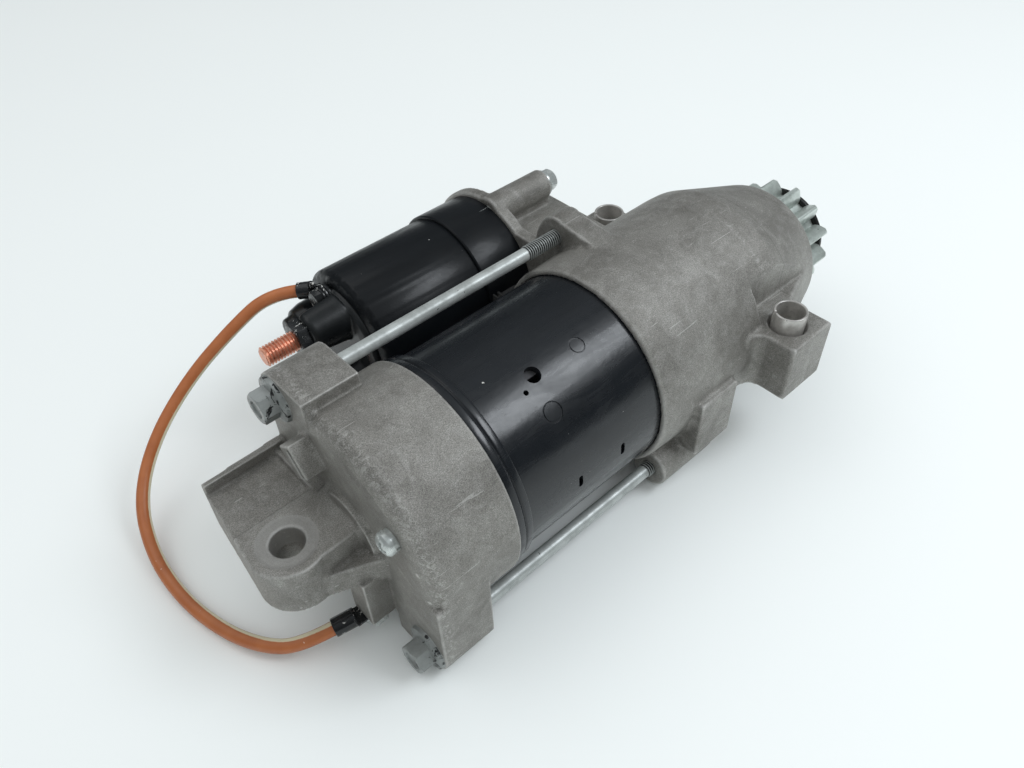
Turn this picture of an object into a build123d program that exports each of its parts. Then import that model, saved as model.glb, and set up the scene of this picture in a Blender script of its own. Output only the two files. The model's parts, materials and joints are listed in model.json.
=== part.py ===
from build123d import *
import os
from math import acos, cos, degrees, pi, radians, sin, sqrt, tan

# Gear-reduction starter motor.
# Frame: X along the motor shaft towards the pinion, Z up along the mounting bolts,
# Y towards the solenoid. The origin is on the shaft axis, midway between the two mounting bolts.
# Everything is in millimetres.

# driving dimensions

# casting joints along the shaft
rim_to_bolts = 62.5         # mounting bolts back to the drive housing's rear rim
yoke_show = 68.0            # yoke length between the two castings
nose_reach = 44.0           # mounting bolts forward to the nose rim
cover_length = 34.0
lap = 4.0                   # how far the yoke sits inside each casting

# radii of the motor body
yoke_radius = 38.2
yoke_wall = 3.0
casting_step = 2.8          # the castings stand this far outside the yoke
cover_radius = yoke_radius + casting_step
cover_wall = 3.6
shell_radius = yoke_radius + casting_step  # drive housing, outside
shell_wall = 4.3
nose_radius = 29.2
nose_bore = 25.6
waist = 27.5                # inside of the housing between its mounting ears
waist_x = (-18.0, -12.0)    # where the inside narrows from the barrel to the waist

# clearances
seat_gap = 0.1              # casting bore over yoke
run_gap = 0.05              # radial clearance of a running fit
air_gap = 0.6               # armature to magnets
slip_gap = 0.4              # between parts that pass each other

# mounting ears and their locating sleeves
mount_spacing = 89.6
mount_face = 12.4           # height of the mounting face above the shaft axis
mount_height = 24.4
mount_length = 23.5
mount_edge = 11.2           # bolt axis to the outer face of its ear
sleeve_radius = 6.1
sleeve_wall = 0.9
sleeve_proud = 6.0
sleeve_slit = 0.8
slit_turn = 143             # degrees the sleeves' slits are turned from the shaft
ring_marks = ((48.6, 24.5, 2.9), (27.3, 44.2, 3.6))  # pressed rings: along the yoke, turn, radius
head_room = 14.0            # clear round a mounting bolt's head, towards the barrel

# rear lug
lug_reach = 20.7            # behind the cover's rear face to the bolt hole
lug_side = 3.2
lug_hole = 5.5
lug_rim = 12.8
lug_top = 9.0
lug_depth = 19.0
pocket_depth = 1.8          # shallow pocket in the lug's top, on the solenoid side
root_fillet = 6.0           # hollow corner between the lug's top and the cover

# through-bolts
bolt_y = 32.24
bolt_z = 34.03
bolt_shank = 2.55
bolt_thread = 2.95
bolt_pitch = 1.0
bolt_flats = 10.0
ear_radius = 9.0
ear_length = 10.5           # the housing's upper bolt ear, along the shaft

# solenoid
coil_axis_y = 75.5
can_radius = 28.1
shell_step = 1.3            # front shell stands this far outside the can
can_length = 50.5
front_length = 21.0
case_wall = 1.8
cap_length = 17.5           # can's rear rim back to the stud nut's seat
plunger_radius = 11.0
pull = 10.0                 # plunger travel
stud_radius = 3.9
stud_pitch = 1.25
stud_reach = 17.5
solenoid_bolt = 2.6
hook_radius = 6.4           # front end of the plunger rod
rod_radius = 4.0

# motor windings and brushes
bar_count = 18
brush_count = 4
brush_turn = 8              # degrees the brushes sit round from the plane of the solenoid
magnet_count = 6
screw_radius = 2.0          # brush holder screws

# planetary gear
module = 1.25
sun_teeth = 12
planet_teeth = 15
planet_count = 3
gear_width = 8.0
backlash = 0.16
pin_radius = 3.0
pressure = radians(20)

# pinion and clutch
pinion_teeth = 13
pinion_module = 3.0
pinion_shift = 0.5
pinion_width = 25.5
pinion_proud = 19.5         # pinion front beyond the nose rim
pinion_turn = 16.0          # degrees the pinion is drawn round from a tooth facing the solenoid
clutch_radius = 21.5
clutch_length = 22.0
race_radius = 12.5
roller_radius = 2.5
roller_count = 6
quill_radius = 14.4
ball_count = 12
ball_radius = 3.25
shaft_radius = 9.5

# lever
lever_top = 32.4            # pivot to plunger hook
lever_thick = 4.0
pad_radius = 3.0
pivot_radius = 3.0

# ground lead
lead_radius = 2.5

# stations and fits that follow from them

x_rim = -rim_to_bolts
x_joint = x_rim - yoke_show             # joint of rear cover and yoke
x_back = x_joint - cover_length
x_yoke = (x_joint - lap + 1.0, x_rim + lap)
x_pinion = (nose_reach + pinion_proud - pinion_width, nose_reach + pinion_proud)
x_seat = x_rim + 18.5                   # solenoid's front face on its seat
x_seam = x_seat - front_length
x_can = x_seam - can_length
yoke_bore = yoke_radius - yoke_wall
cover_bore = cover_radius - cover_wall
shell_bore = shell_radius - shell_wall - 0.2

centre_distance = module * (sun_teeth + planet_teeth) / 2
ring_teeth = sun_teeth + 2 * planet_teeth
x_plate = (x_yoke[1], x_yoke[1] + 1.5)  # steel plate between motor and gears
x_gears = (x_plate[1] + 0.5, x_plate[1] + 0.5 + gear_width)
x_carrier = (x_gears[1] + 0.5, x_gears[1] + 3.0)
x_bracket = (x_carrier[1] + 0.5, x_carrier[1] + 5.5)

sleeve_x = x_bracket[1] + 0.9           # rear end of the clutch sleeve at rest
sleeve_span = 12.0
groove_width = 8.4
groove_radius = 13.6
flange_radius = 18.0
x_groove = sleeve_x + sleeve_span / 2
lever_low = coil_axis_y - lever_top     # pivot height above the shaft axis
throw = pull * lever_low / lever_top
swing = pull / lever_top                # radians, full travel
x_pivot = x_groove + lever_low * sin(swing / 2)
x_hook = x_pivot + lever_top * sin(swing / 2)
x_drum = (sleeve_x + sleeve_span, sleeve_x + sleeve_span + clutch_length)
x_chamber = x_hook + 12.4               # outside front of the lever chamber
chamber_wall = 3.5

race_x = x_drum[0] + 5.0
spline_end = x_drum[0] + 4.0 + throw + 1.8
x_bearing = (x_drum[1] + throw + 10.5, x_drum[1] + throw + 23.0)
bearing_radius = 24.0

x_core = (x_yoke[0] + 15.5, x_yoke[1] - 13.5)
magnet_thick = 6.4
magnet_inner = yoke_bore - magnet_thick
core_radius = magnet_inner - air_gap
commutator_radius = 16.5
x_commutator = (x_back + 16.5, x_joint + 3.5)
main_shaft = 7.0
front_journal = 4.5
rear_journal = 5.0

ear_front = x_seat - 0.5                # rear face of the housing's upper bolt ear
boss_rear = x_rim + 5.5                 # rear face of the lower bolt boss
sleeve_hole = sleeve_radius + seat_gap
screw_spot = (-23.7, 17.7)              # brush holder screws, this and its opposite
bolt_spot = (coil_axis_y - 4.0, 26.5)   # solenoid bolts above and below the plunger
tooth_thick = pi * module / 2 - backlash / 2
short_tip = 0.8 * module
deep_root = 1.1 * module
cap_radius = can_radius - 4.4
inlet_spot = (x_joint - 16.0, -6.0)     # x and z of the feed's way into the rear cover
inlet_radius = 6.5

# solenoid stations
x_stop = x_can + 22.0                   # front face of the fixed core
x_rear_face = x_stop + pull + 0.2       # plunger's rear face at rest
x_spring_seat = x_seat + 16.3
contact_travel = 2.4                    # contact disc, for the plunger's full pull
x_contact = x_can + 2.0                 # studs' contact faces
x_disc = x_contact + contact_travel + 0.3
contact_radius = 6.2
push_radius = 2.4
flange_room = 21.0
stud_places = {"battery": (coil_axis_y - 2.0, 14.0), "motor": (coil_axis_y - 9.0, -11.5)}
stud_seats = {"battery": x_can - cap_length, "motor": x_can - 9.5}
nut_height = 4.6
nut_flats = 12.0
blind_tower = (coil_axis_y + 12.0, 6.5)
signal_spot = (coil_axis_y + 5.2, 20.0)
signal_face = x_can - 2.6
signal_radius = 2.0
signal_room = 5.2                       # clear round the signal screw's head

# ground lead's two ends
ring_thick = 1.2
ring_radius = 4.8
crimp_radius = 3.3
ground_spot = (x_back - 5.0, -9.5)      # x and y of the screw under the boss
ground_face = -31.0
ground_screw_radius = 2.5
exit_run = 12.0                         # straight stretch of lead out of each crimp
front_crimp = (signal_face - 1.8, signal_spot[0] + 6.8, signal_spot[1])
rear_crimp = (ground_spot[0] - 6.4, ground_spot[1] + 1.9, ground_face - 1.6)
# where each crimp barrel starts, the way it points and how long it is
crimps = {"front": (front_crimp, (-0.72, 0.68, -0.12), 5.0),
          "rear": (rear_crimp, (-0.957, 0.259, -0.133), 8.0)}


# small shared shapes

def rod(x0, x1, radius, y=0.0, z=0.0):
    """A cylinder along X."""
    return Pos((x0 + x1) / 2, y, z) * Rot(0, 90, 0) * Cylinder(radius, abs(x1 - x0))


def tube(x0, x1, outer, inner, y=0.0, z=0.0):
    """A hollow cylinder along X."""
    return rod(x0, x1, outer, y, z) - rod(x0 - 1, x1 + 1, inner, y, z)


def post(x, y, z0, z1, radius):
    """A cylinder along Z."""
    return Pos(x, y, (z0 + z1) / 2) * Cylinder(radius, abs(z1 - z0))


def block(x0, x1, y0, y1, z0, z1):
    """A box between two corners."""
    size = (abs(x1 - x0), abs(y1 - y0), abs(z1 - z0))
    return Pos((x0 + x1) / 2, (y0 + y1) / 2, (z0 + z1) / 2) * Box(*size)


def turned(profile, y=0.0, z=0.0):
    """A solid turned about X from (x, radius) points."""
    outline = Polyline([(x, r, 0) for x, r in profile], close=True)
    return Pos(0, y, z) * revolve(make_face(outline), Axis.X)


def around(shape, count, start=0.0):
    """Copies of a shape spaced round the X axis."""
    return [Rot(start + 360 * i / count, 0, 0) * shape for i in range(count)]


def opposite(shape):
    """The same shape half a turn round the X axis."""
    return Rot(180, 0, 0) * shape


def prism(points, x0, x1):
    """A flat outline of (y, z) points made thick from x0 to x1."""
    outline = Polyline([(x0, y, z) for y, z in points], close=True)
    return extrude(make_face(outline), amount=x1 - x0, dir=(1, 0, 0))


def plate(points, z0, z1):
    """A flat outline of (x, y) points made thick from z0 to z1."""
    outline = Polyline([(x, y, z0) for x, y in points], close=True)
    return extrude(make_face(outline), amount=z1 - z0, dir=(0, 0, 1))


def hexagon(x0, x1, flats, y=0.0, z=0.0):
    """A hexagonal bar along X."""
    corner = flats / sqrt(3)
    points = [(y + corner * cos(radians(a)), z + corner * sin(radians(a))) for a in range(0, 360, 60)]
    return prism(points, x0, x1)


def threaded(x0, x1, crest, pitch, y=0.0, z=0.0):
    """A threaded length: one ridge for each pitch, the first and last ones chamfered."""
    depth = 0.6 * pitch
    turns = int((x1 - x0) / pitch)
    points = [(x0, 0), (x0, crest - depth)]
    for i in range(turns):
        x = x0 + i * pitch
        points += [(x + 0.15 * pitch, crest - depth), (x + 0.45 * pitch, crest)]
        points += [(x + 0.6 * pitch, crest), (x + 0.9 * pitch, crest - depth)]
    points += [(x1, crest - depth), (x1, 0)]
    return turned(points, y, z)


def involute(angle):
    return tan(angle) - angle


def gear_outline(teeth, size, thick, tip, root, x):
    """A gear's outline in the plane at x; thick is the tooth's width on the pitch circle."""
    pitch = size * teeth / 2
    base = pitch * cos(pressure)
    start = max(base, root)

    def half(radius):
        return thick / (2 * pitch) + involute(pressure) - involute(acos(base / radius))

    radii = [start + (tip - start) * k / 4 for k in range(5)]
    points = []
    for i in range(teeth):
        middle = 2 * pi * i / teeth
        low = [(root, middle - half(start))] if root < start else []
        rise = [(r, middle - half(r)) for r in radii]
        fall = [(r, middle + half(r)) for r in reversed(radii)]
        high = [(root, middle + half(start))] if root < start else []
        points += low + rise + fall + high
    return Polyline([(x, r * cos(a), r * sin(a)) for r, a in points], close=True)


def gear(teeth, size, thick, tip, root, x0, x1):
    outline = gear_outline(teeth, size, thick, tip, root, x0)
    return extrude(make_face(outline), amount=x1 - x0, dir=(1, 0, 0))


def coil(x0, x1, radius, wire, turns, y=0.0, z=0.0):
    """A helical spring along X."""
    path = Helix(pitch=(x1 - x0) / turns, height=x1 - x0, radius=radius, center=(0, 0, 0))
    section = Plane(origin=path @ 0, z_dir=path % 0) * Circle(wire)
    return Pos(x0, y, z) * Rot(0, 90, 0) * sweep(section, path=path)


def write(name, shape):
    solids = shape if isinstance(shape, list) else shape.solids()
    pieces = [s for item in solids for s in item.solids()]
    body = pieces[0] if len(pieces) == 1 else Compound(children=pieces)
    export_step(body, f"parts/{name}.step")


# castings

def bolt_ear(x0, x1, depth):
    """The square-cornered ear that a casting holds out for one through-bolt."""
    top = bolt_z + ear_radius
    side = bolt_y + ear_radius
    ear = block(x0, x1, bolt_y - 17, bolt_y, bolt_z - depth, top)
    ear += block(x0, x1, bolt_y - 17, side, bolt_z - depth, bolt_z)
    return ear + rod(x0, x1, ear_radius, bolt_y, bolt_z)


def rear_lug():
    """The flat mounting lug behind the rear cover, with its rounded end and side rib."""
    x = x_back - lug_reach
    low = lug_top - lug_depth
    root = x_back + 3.5
    outline = [(x - lug_rim, lug_side), (x - 9.1, 38.7), (root, 40.0), (root, -12.0),
               (x_back + 1.0, -12.0), (x_back - 3.5, -8.2), (x + 4.5, lug_side - 11.9), (x, lug_side)]
    lug = plate(outline, low, lug_top) + post(x, lug_side, low, lug_top, lug_rim)
    lug += plate([(x + 2.0, lug_side - 12.4), (x_back - 6.2, -14.2), (root, -18.8), (root, -6.0)], low, 0.0)
    lug += plate([(x - 9.1, 38.7), (root, 40.0), (root, 37.0), (x - 9.2, 36.2)], 0.0, lug_top + 2.6)
    lug -= block(x - lug_rim - 1, x_back - 4.6, 15.2, 36.8, lug_top - pocket_depth, lug_top + 4)
    lug -= post(x, lug_side, lug_top - 0.4, lug_top + 1, lug_hole * 1.75)
    corner = block(x_back - root_fillet, root, -8.0, 12.0, lug_top, lug_top + root_fillet)
    hollow = Rot(90, 0, 0) * Cylinder(root_fillet, 22)
    return lug + (corner - Pos(x_back - root_fillet, 2.0, lug_top + root_fillet) * hollow)


def lead_boss():
    """The drilled boss under the lug, where the ground lead is screwed on from below."""
    x, y = ground_spot
    boss = block(x - 4.5, x_back + 3.5, y - 6.0, y + 5.0, ground_face, lug_top - lug_depth + 2.0)
    return boss - post(x, y, ground_face - 1, ground_face + 11.0, ground_screw_radius)


def strap_block():
    """The slotted block, turned to lie along the cover's rim."""
    points = [(16.0, 30.4), (8.8, 20.9), (16.0, 15.5), (23.2, 25.0)]
    slot = [(16.8, 28.3), (10.6, 20.1), (12.4, 18.7), (18.6, 26.9)]
    return prism(points, x_back - 7.2, x_back + 3) - prism(slot, x_back - 8, x_back - 3.2)


def rear_cover():
    outer = turned([(x_back, 0), (x_back, cover_radius - 5.5), (x_back + 0.9, cover_radius - 2.6),
                    (x_back + 3.2, cover_radius - 0.3), (x_back + 4.4, cover_radius),
                    (x_joint, cover_radius), (x_joint, 0)])
    ears = bolt_ear(x_back, x_joint - 13.5, 30) + opposite(bolt_ear(x_back, x_joint - 13.5, 30))
    outer += ears
    outer += rear_lug()
    outer += lead_boss()
    outer += strap_block()
    outer += rod(x_back - 2.2, x_back + 3, 14.0)
    inner_back = x_back + cover_wall
    outer -= rod(inner_back, x_joint + 1, cover_bore)
    outer -= rod(x_yoke[0], x_joint + 1, yoke_radius + seat_gap)
    outer += tube(inner_back - 1, inner_back + 7.0, 9.5, 7.0)
    outer -= rod(x_back - 1.0, inner_back + 8, 7.0)
    for turn in (0, 180):
        outer -= Rot(turn, 0, 0) * rod(x_back - 1, x_joint, bolt_thread + 0.35, bolt_y, bolt_z)
        outer -= Rot(turn, 0, 0) * rod(x_back - 1, inner_back + 1, screw_radius + 0.1, *screw_spot)
    outer -= post(x_back - lug_reach, lug_side, -60, 60, lug_hole)
    return outer - cover_inlet(inlet_radius)


def cover_inlet(radius, start=yoke_radius - 3.0, end=cover_radius + 2.0):
    """The round way in for the motor's feed, through the cover's side wall towards the solenoid."""
    x, z = inlet_spot
    return Pos(x, (start + end) / 2, z) * Rot(90, 0, 0) * Cylinder(radius, end - start)


def lead_grommet():
    """The rubber bush in the cover's inlet."""
    bush = cover_inlet(inlet_radius, cover_bore + 0.6, cover_radius + 1.6)
    bush += cover_inlet(inlet_radius + 1.6, cover_radius + 0.4, cover_radius + 1.8)
    bush -= cover_inlet(inlet_radius - 2.0, cover_bore - 3.0, cover_radius + 4.0)
    return bush


def mount_block(side):
    """One mounting ear with a filleted corner against the housing."""
    y = side * mount_spacing / 2
    edge = y + side * mount_edge
    low = mount_face - mount_height
    half = mount_length / 2
    ear = block(-half, half, side * 28.0, edge, low, mount_face)
    wall = side * (shell_radius - 0.6)
    fillet = 5.0
    web = block(-half - fillet, -half + 1, wall + side * fillet, side * 33.0, low, mount_face)
    web -= post(-half - fillet, wall + side * fillet, low - 1, mount_face + 1, fillet)
    return ear + web


def solenoid_seat():
    """The seat ring, the lever chamber and the two long bolt bosses beside the motor."""
    seat = rod(x_seat, x_seat + 5.0, can_radius + shell_step + 1.8, coil_axis_y)
    seat += turned([(x_seat + 5.0, 0), (x_seat + 5.0, 25.0), (x_seat + 10.0, 21.5),
                    (x_chamber - 2.0, 20.5), (x_chamber, 18.5), (x_chamber, 0)], coil_axis_y)
    seat += block(x_seat + 1.0, x_chamber, 28.0, coil_axis_y, -19.0, 19.0)
    seat += block(x_seat, x_seat + 5.0, 28.0, coil_axis_y, -24.0, 24.0)
    for z in (bolt_spot[1], -bolt_spot[1]):
        seat += rod(x_seat, x_chamber - 4.5, 6.2, bolt_spot[0], z)
        inward = 0.55 * z
        seat += block(x_seat, x_chamber - 4.5, bolt_spot[0] - 4.5, bolt_spot[0] + 4.5, inward, z)
    return seat


def drive_housing():
    shoulder = x_rim + 75.0
    body = turned([(x_rim, 0), (x_rim, shell_radius - 1.1), (x_rim + 1.0, shell_radius - 0.4),
                   (x_rim + 12.0, shell_radius), (shoulder - 8.0, shell_radius),
                   (shoulder - 3.0, shell_radius - 0.3), (shoulder, shell_radius - 1.3),
                   (nose_reach - 2.0, nose_radius + 0.6), (nose_reach - 0.6, nose_radius),
                   (nose_reach, nose_radius - 0.8), (nose_reach, 0)])
    body += mount_block(-1)
    body += mount_block(1)
    body += rod(boss_rear, x_rim + 34.0, 8.0, -bolt_y, -bolt_z)
    body += block(x_rim + 17.5, x_rim + 37.5, -44.0, -26.0, -27.0, -1.0)
    body += solenoid_seat()
    upper = rod(ear_front, ear_front + ear_length, 8.2, bolt_y, bolt_z)
    upper += prism([(10.0, 30.0), (10.0, 39.4), (19.0, 40.4), (33.0, 41.9), (38.4, 39.6), (41.5, 34.5),
                    (43.5, 27.0), (43.5, 10.0), (10.0, 10.0)], ear_front, ear_front + ear_length)
    body += upper

    # main cavity, from the yoke's seat to the nose rim
    chest = x_drum[1] + throw + 1.0
    body -= turned([(x_rim - 1, 0), (x_rim - 1, yoke_radius + seat_gap), (x_yoke[1], yoke_radius + seat_gap),
                    (x_yoke[1], shell_bore), (waist_x[0], shell_bore), (waist_x[1], waist), (chest, waist),
                    (x_bearing[0] - 2.0, bearing_radius - 2.5),
                    (x_bearing[0], bearing_radius - 2.5), (x_bearing[0], bearing_radius),
                    (x_bearing[1] + 3.5, bearing_radius), (x_bearing[1] + 3.5, nose_bore),
                    (nose_reach + 1, nose_bore), (nose_reach + 1, 0)])

    # lever chamber and plunger well
    body -= block(x_seat + 5.0, x_chamber - chamber_wall, 20.0, coil_axis_y, -15.5, 15.5)
    body -= rod(x_seat - 1, x_chamber - chamber_wall, 15.5, coil_axis_y)
    body -= post(x_pivot, lever_low, -30, 30, pivot_radius)

    # mounting holes, sleeve counterbores and the flats cut for the bolt heads
    low = mount_face - mount_height
    for side in (-1, 1):
        y = side * mount_spacing / 2
        body -= post(0, y, low - 1, mount_face + 1, sleeve_hole)
        body -= post(0, y, mount_face - 2.6, mount_face + 1, sleeve_hole + 1.0)
        flat = side * (mount_spacing / 2 - head_room)
        body -= block(-mount_length / 2 + 3.4, 30.0, flat, side * 70, mount_face, mount_face + 30)

    # bolt holes
    body -= rod(ear_front - 1, ear_front + 18, bolt_thread, bolt_y, bolt_z)
    body -= rod(boss_rear - 1, ear_front + 18, bolt_thread, -bolt_y, -bolt_z)
    for z in (bolt_spot[1], -bolt_spot[1]):
        body -= rod(x_seat - 1, x_chamber, solenoid_bolt, bolt_spot[0], z)

    # window under the solenoid side of the rim that the rubber packing closes
    body -= block(x_rim - 1, x_rim + 8.0, 30.0, 60.0, -11.0, 11.0)
    return body


def mount_sleeves():
    """Split steel sleeves that stand proud of the mounting face."""
    low = mount_face - mount_height
    top = mount_face + sleeve_proud
    pieces = []
    for side in (-1, 1):
        y = side * mount_spacing / 2
        ring = post(0, y, low, top, sleeve_hole) - post(0, y, low - 1, top + 1, sleeve_radius - sleeve_wall)
        slit = block(0, 10, -sleeve_slit / 2, sleeve_slit / 2, low - 1, top + 1)
        ring -= Pos(0, y, 0) * Rot(0, 0, slit_turn) * slit
        pieces.append(chamfer(ring.edges().group_by(Axis.Z)[-1], 0.25))
    return pieces


# motor

def yoke():
    """The steel tube that carries the magnets, with its punched and pressed marks."""
    body = tube(x_yoke[0], x_yoke[1], yoke_radius, yoke_bore)
    for x, turn, radius in ((x_joint + 29.0, 24.4, 2.9), (x_joint + 23.2, 29.8, 0.9)):
        body -= Rot(turn, 0, 0) * post(x, 0, yoke_bore - 2, yoke_radius + 2, radius)
    for x, turn, radius in ring_marks:
        ring = post(x_joint + x, 0, yoke_radius - 0.3, yoke_radius + 2, radius)
        ring -= post(x_joint + x, 0, yoke_radius - 2, yoke_radius + 3, radius - 0.5)
        body -= Rot(turn, 0, 0) * ring
    for x in (x_joint + 29.0, x_joint + 49.0):
        slot = block(x - 0.9, x + 0.9, -1.6, 1.6, yoke_bore - 2, yoke_radius + 2)
        slot += post(x, -1.6, yoke_bore - 2, yoke_radius + 2, 0.9)
        slot += post(x, 1.6, yoke_bore - 2, yoke_radius + 2, 0.9)
        body -= Rot(87, 0, 0) * slot
    return body


def yoke_end_ring():
    """The stepped sealing ring pressed over the yoke against the rear cover."""
    return turned([(x_joint, yoke_radius), (x_joint, yoke_radius + 2.0), (x_joint + 2.6, yoke_radius + 2.0),
                   (x_joint + 3.0, yoke_radius + 1.2), (x_joint + 3.4, yoke_radius + 1.2),
                   (x_joint + 3.8, yoke_radius + 1.6), (x_joint + 6.2, yoke_radius + 1.4),
                   (x_joint + 6.8, yoke_radius)])


def magnets():
    arc = tube(x_core[0] - 2, x_core[1] + 2, yoke_bore, magnet_inner)
    wedge = prism([(0, 0), (45 * sin(radians(24)), 45 * cos(radians(24))),
                   (-45 * sin(radians(24)), 45 * cos(radians(24)))], x_core[0] - 3, x_core[1] + 3)
    return around(arc & wedge, magnet_count)


def armature_core():
    body = tube(x_core[0], x_core[1], core_radius, main_shaft)
    slot = block(x_core[0] - 1, x_core[1] + 1, -1.5, 1.5, core_radius - 9.0, core_radius - 1.2)
    mouth = block(x_core[0] - 1, x_core[1] + 1, -0.6, 0.6, core_radius - 2.0, core_radius + 1)
    for piece in around(slot + mouth, bar_count):
        body -= piece
    return body


def armature_windings():
    """Hairpin bars in the slots, joined by the two rings of end turns."""
    bar = block(x_core[0] - 0.5, x_core[1] + 0.5, -1.3, 1.3, core_radius - 8.8, core_radius - 1.6)
    body = tube(x_core[1] + 0.2, x_core[1] + 6.5, core_radius - 1.5, core_radius - 9.5)
    body += tube(x_commutator[1] + 0.3, x_core[0] - 0.2, core_radius - 1.5, core_radius - 9.5)
    body += tube(x_commutator[1] - 2.2, x_commutator[1] + 3.0, core_radius - 3.0, commutator_radius)
    for piece in around(bar, bar_count):
        body += piece
    return body


def commutator():
    body = tube(x_commutator[0], x_commutator[1], commutator_radius, main_shaft)
    groove = block(x_commutator[0] - 1, x_commutator[1] - 3, -0.3, 0.3, commutator_radius - 0.8,
                   commutator_radius + 1)
    for piece in around(groove, bar_count):
        body -= piece
    return body


def armature_shaft():
    rear = x_back + 2.4
    tip = x_bracket[1] - 1.0
    return turned([(rear, 0), (rear, rear_journal - 0.6), (rear + 0.6, rear_journal),
                   (x_back + 13.0, rear_journal), (x_back + 13.0, main_shaft),
                   (x_plate[0] - 4.0, main_shaft), (x_plate[0] - 4.0, front_journal),
                   (tip - 0.6, front_journal), (tip, front_journal - 0.6), (tip, 0)])


def rear_bush():
    start = x_back + cover_wall - 0.4
    return tube(start, x_back + cover_wall + 7.0, 7.0, rear_journal + run_gap)


def brush_holder():
    """The plate behind the commutator with four brush boxes and two screw pillars."""
    x0 = x_commutator[0] - 3.4
    body = tube(x0, x0 + 2.4, cover_bore - slip_gap, commutator_radius + 2.5)
    box = block(x0 + 2.4, x0 + 15.4, -6.4, 6.4, commutator_radius + 1.5, cover_bore - 3.0)
    box -= block(x0 + 3.4, x0 + 14.4, -5.0, 5.0, commutator_radius - 1, cover_bore + 2)
    for piece in around(box, brush_count, brush_turn):
        body += piece
    inner_back = x_back + cover_wall
    for turn in (0, 180):
        pillar = rod(inner_back, x0 + 0.5, 4.2, *screw_spot)
        body += Rot(turn, 0, 0) * pillar
        body -= Rot(turn, 0, 0) * rod(inner_back - 1, x0 + 4, screw_radius, *screw_spot)
    return body


def brushes():
    x0 = x_commutator[0] - 1.0
    brush = block(x0 + 1.3, x0 + 11.7, -4.8, 4.8, commutator_radius - 0.5, commutator_radius + 12.5)
    brush -= rod(x0, x0 + 13, commutator_radius + run_gap)
    return around(brush, brush_count, brush_turn)


def brush_springs():
    x0 = x_commutator[0] + 5.5
    low = commutator_radius + 12.5
    spring = Pos(x0, 0, 0) * Rot(0, -90, 0) * coil(low + 0.45, cover_bore - 0.9, 3.4, 0.4, 3)
    return around(spring, brush_count, brush_turn)


def motor_end_plate():
    return tube(x_plate[0], x_plate[1], shell_bore, 11.0)


# fasteners

def through_bolts():
    head = x_back
    pieces = []
    grip = ear_front - 15.0
    stop = ear_front + ear_length - 0.5
    for turn in (0, 180):
        bolt = rod(head, grip + 0.2, bolt_shank, bolt_y, bolt_z)
        bolt += threaded(grip, stop, bolt_thread, bolt_pitch, bolt_y, bolt_z)
        bolt += turned([(head - 1.9, 0), (head - 1.9, 5.4), (head - 1.2, 8.0), (head, 8.4), (head, 0)],
                       bolt_y, bolt_z)
        cap = hexagon(head - 7.2, head - 1.2, bolt_flats, bolt_y, bolt_z)
        cap &= turned([(head - 7.2, 0), (head - 7.2, 4.9), (head - 6.4, 5.9), (head - 1.2, 5.9),
                       (head - 1.2, 0)], bolt_y, bolt_z)
        cap -= turned([(head - 8, 0), (head - 8, 3.6), (head - 6.5, 2.9), (head - 6.5, 0)], bolt_y, bolt_z)
        pieces.append(Rot(turn, 0, 0) * (bolt + cap))
    return pieces


def cover_screws():
    pieces = []
    y, z = screw_spot
    head = x_back - 1.3
    screw = rod(head, x_back + cover_wall + 9.0, screw_radius, y, z)
    screw += turned([(head, 0), (head, 4.1), (head - 1.6, 4.0), (head - 2.6, 3.1), (head - 3.1, 1.6),
                     (head - 3.1, 0)], y, z)
    cross = block(head - 4, head - 1.2, y - 2.5, y + 2.5, z - 0.55, z + 0.55)
    cross += block(head - 4, head - 1.2, y - 0.55, y + 0.55, z - 2.5, z + 2.5)
    screw -= cross
    for turn in (0, 180):
        pieces.append(Rot(turn, 0, 0) * screw)
    return pieces


def cover_screw_washers():
    y, z = screw_spot
    ring = tube(x_back - 1.3, x_back, 3.8, screw_radius + 0.1, y, z)
    ring -= block(x_back - 2, x_back + 1, y - 5, y, z - 0.3, z + 0.3)
    return [Rot(turn, 0, 0) * ring for turn in (0, 180)]


def solenoid_bolts():
    pieces = []
    head = x_chamber - 4.5
    for z in (bolt_spot[1], -bolt_spot[1]):
        bolt = rod(x_seat - 4.5, head + 0.2, solenoid_bolt, bolt_spot[0], z)
        bolt += rod(head, head + 1.4, 5.2, bolt_spot[0], z)
        cap = hexagon(head + 1.2, head + 5.4, 8.0, bolt_spot[0], z)
        cap &= turned([(head + 1.2, 0), (head + 1.2, 4.7), (head + 4.7, 4.7), (head + 5.4, 3.9),
                       (head + 5.4, 0)], bolt_spot[0], z)
        pieces.append(bolt + cap)
    return pieces


# reduction gear

def planet_places():
    return [120 * i for i in range(planet_count)]


def sun_gear():
    pitch = module * sun_teeth / 2
    body = gear(sun_teeth, module, tooth_thick, pitch + short_tip, pitch - deep_root, *x_gears)
    return body - rod(x_gears[0] - 1, x_gears[1] + 1, front_journal)


def planet_gear(place):
    """One planet, turned so that a space faces the sun's tooth at that place."""
    pitch = module * planet_teeth / 2
    body = gear(planet_teeth, module, tooth_thick, pitch + short_tip, pitch - deep_root, *x_gears)
    body -= rod(x_gears[0] - 1, x_gears[1] + 1, pin_radius + run_gap)
    return Rot(place, 0, 0) * Pos(0, centre_distance, 0) * body


def ring_gear():
    pitch = module * ring_teeth / 2
    body = tube(x_plate[1], x_bracket[0], shell_bore, pitch - 0.7 * module - 0.01)
    cutter = gear(ring_teeth, module, pi * module / 2 + backlash / 2, pitch + deep_root,
                  pitch - 0.7 * module - 0.01, x_plate[1] - 1, x_carrier[0] - 0.2)
    body -= cutter
    return body - rod(x_carrier[0] - 0.2, x_bracket[0] + 1, pitch + deep_root)


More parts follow.
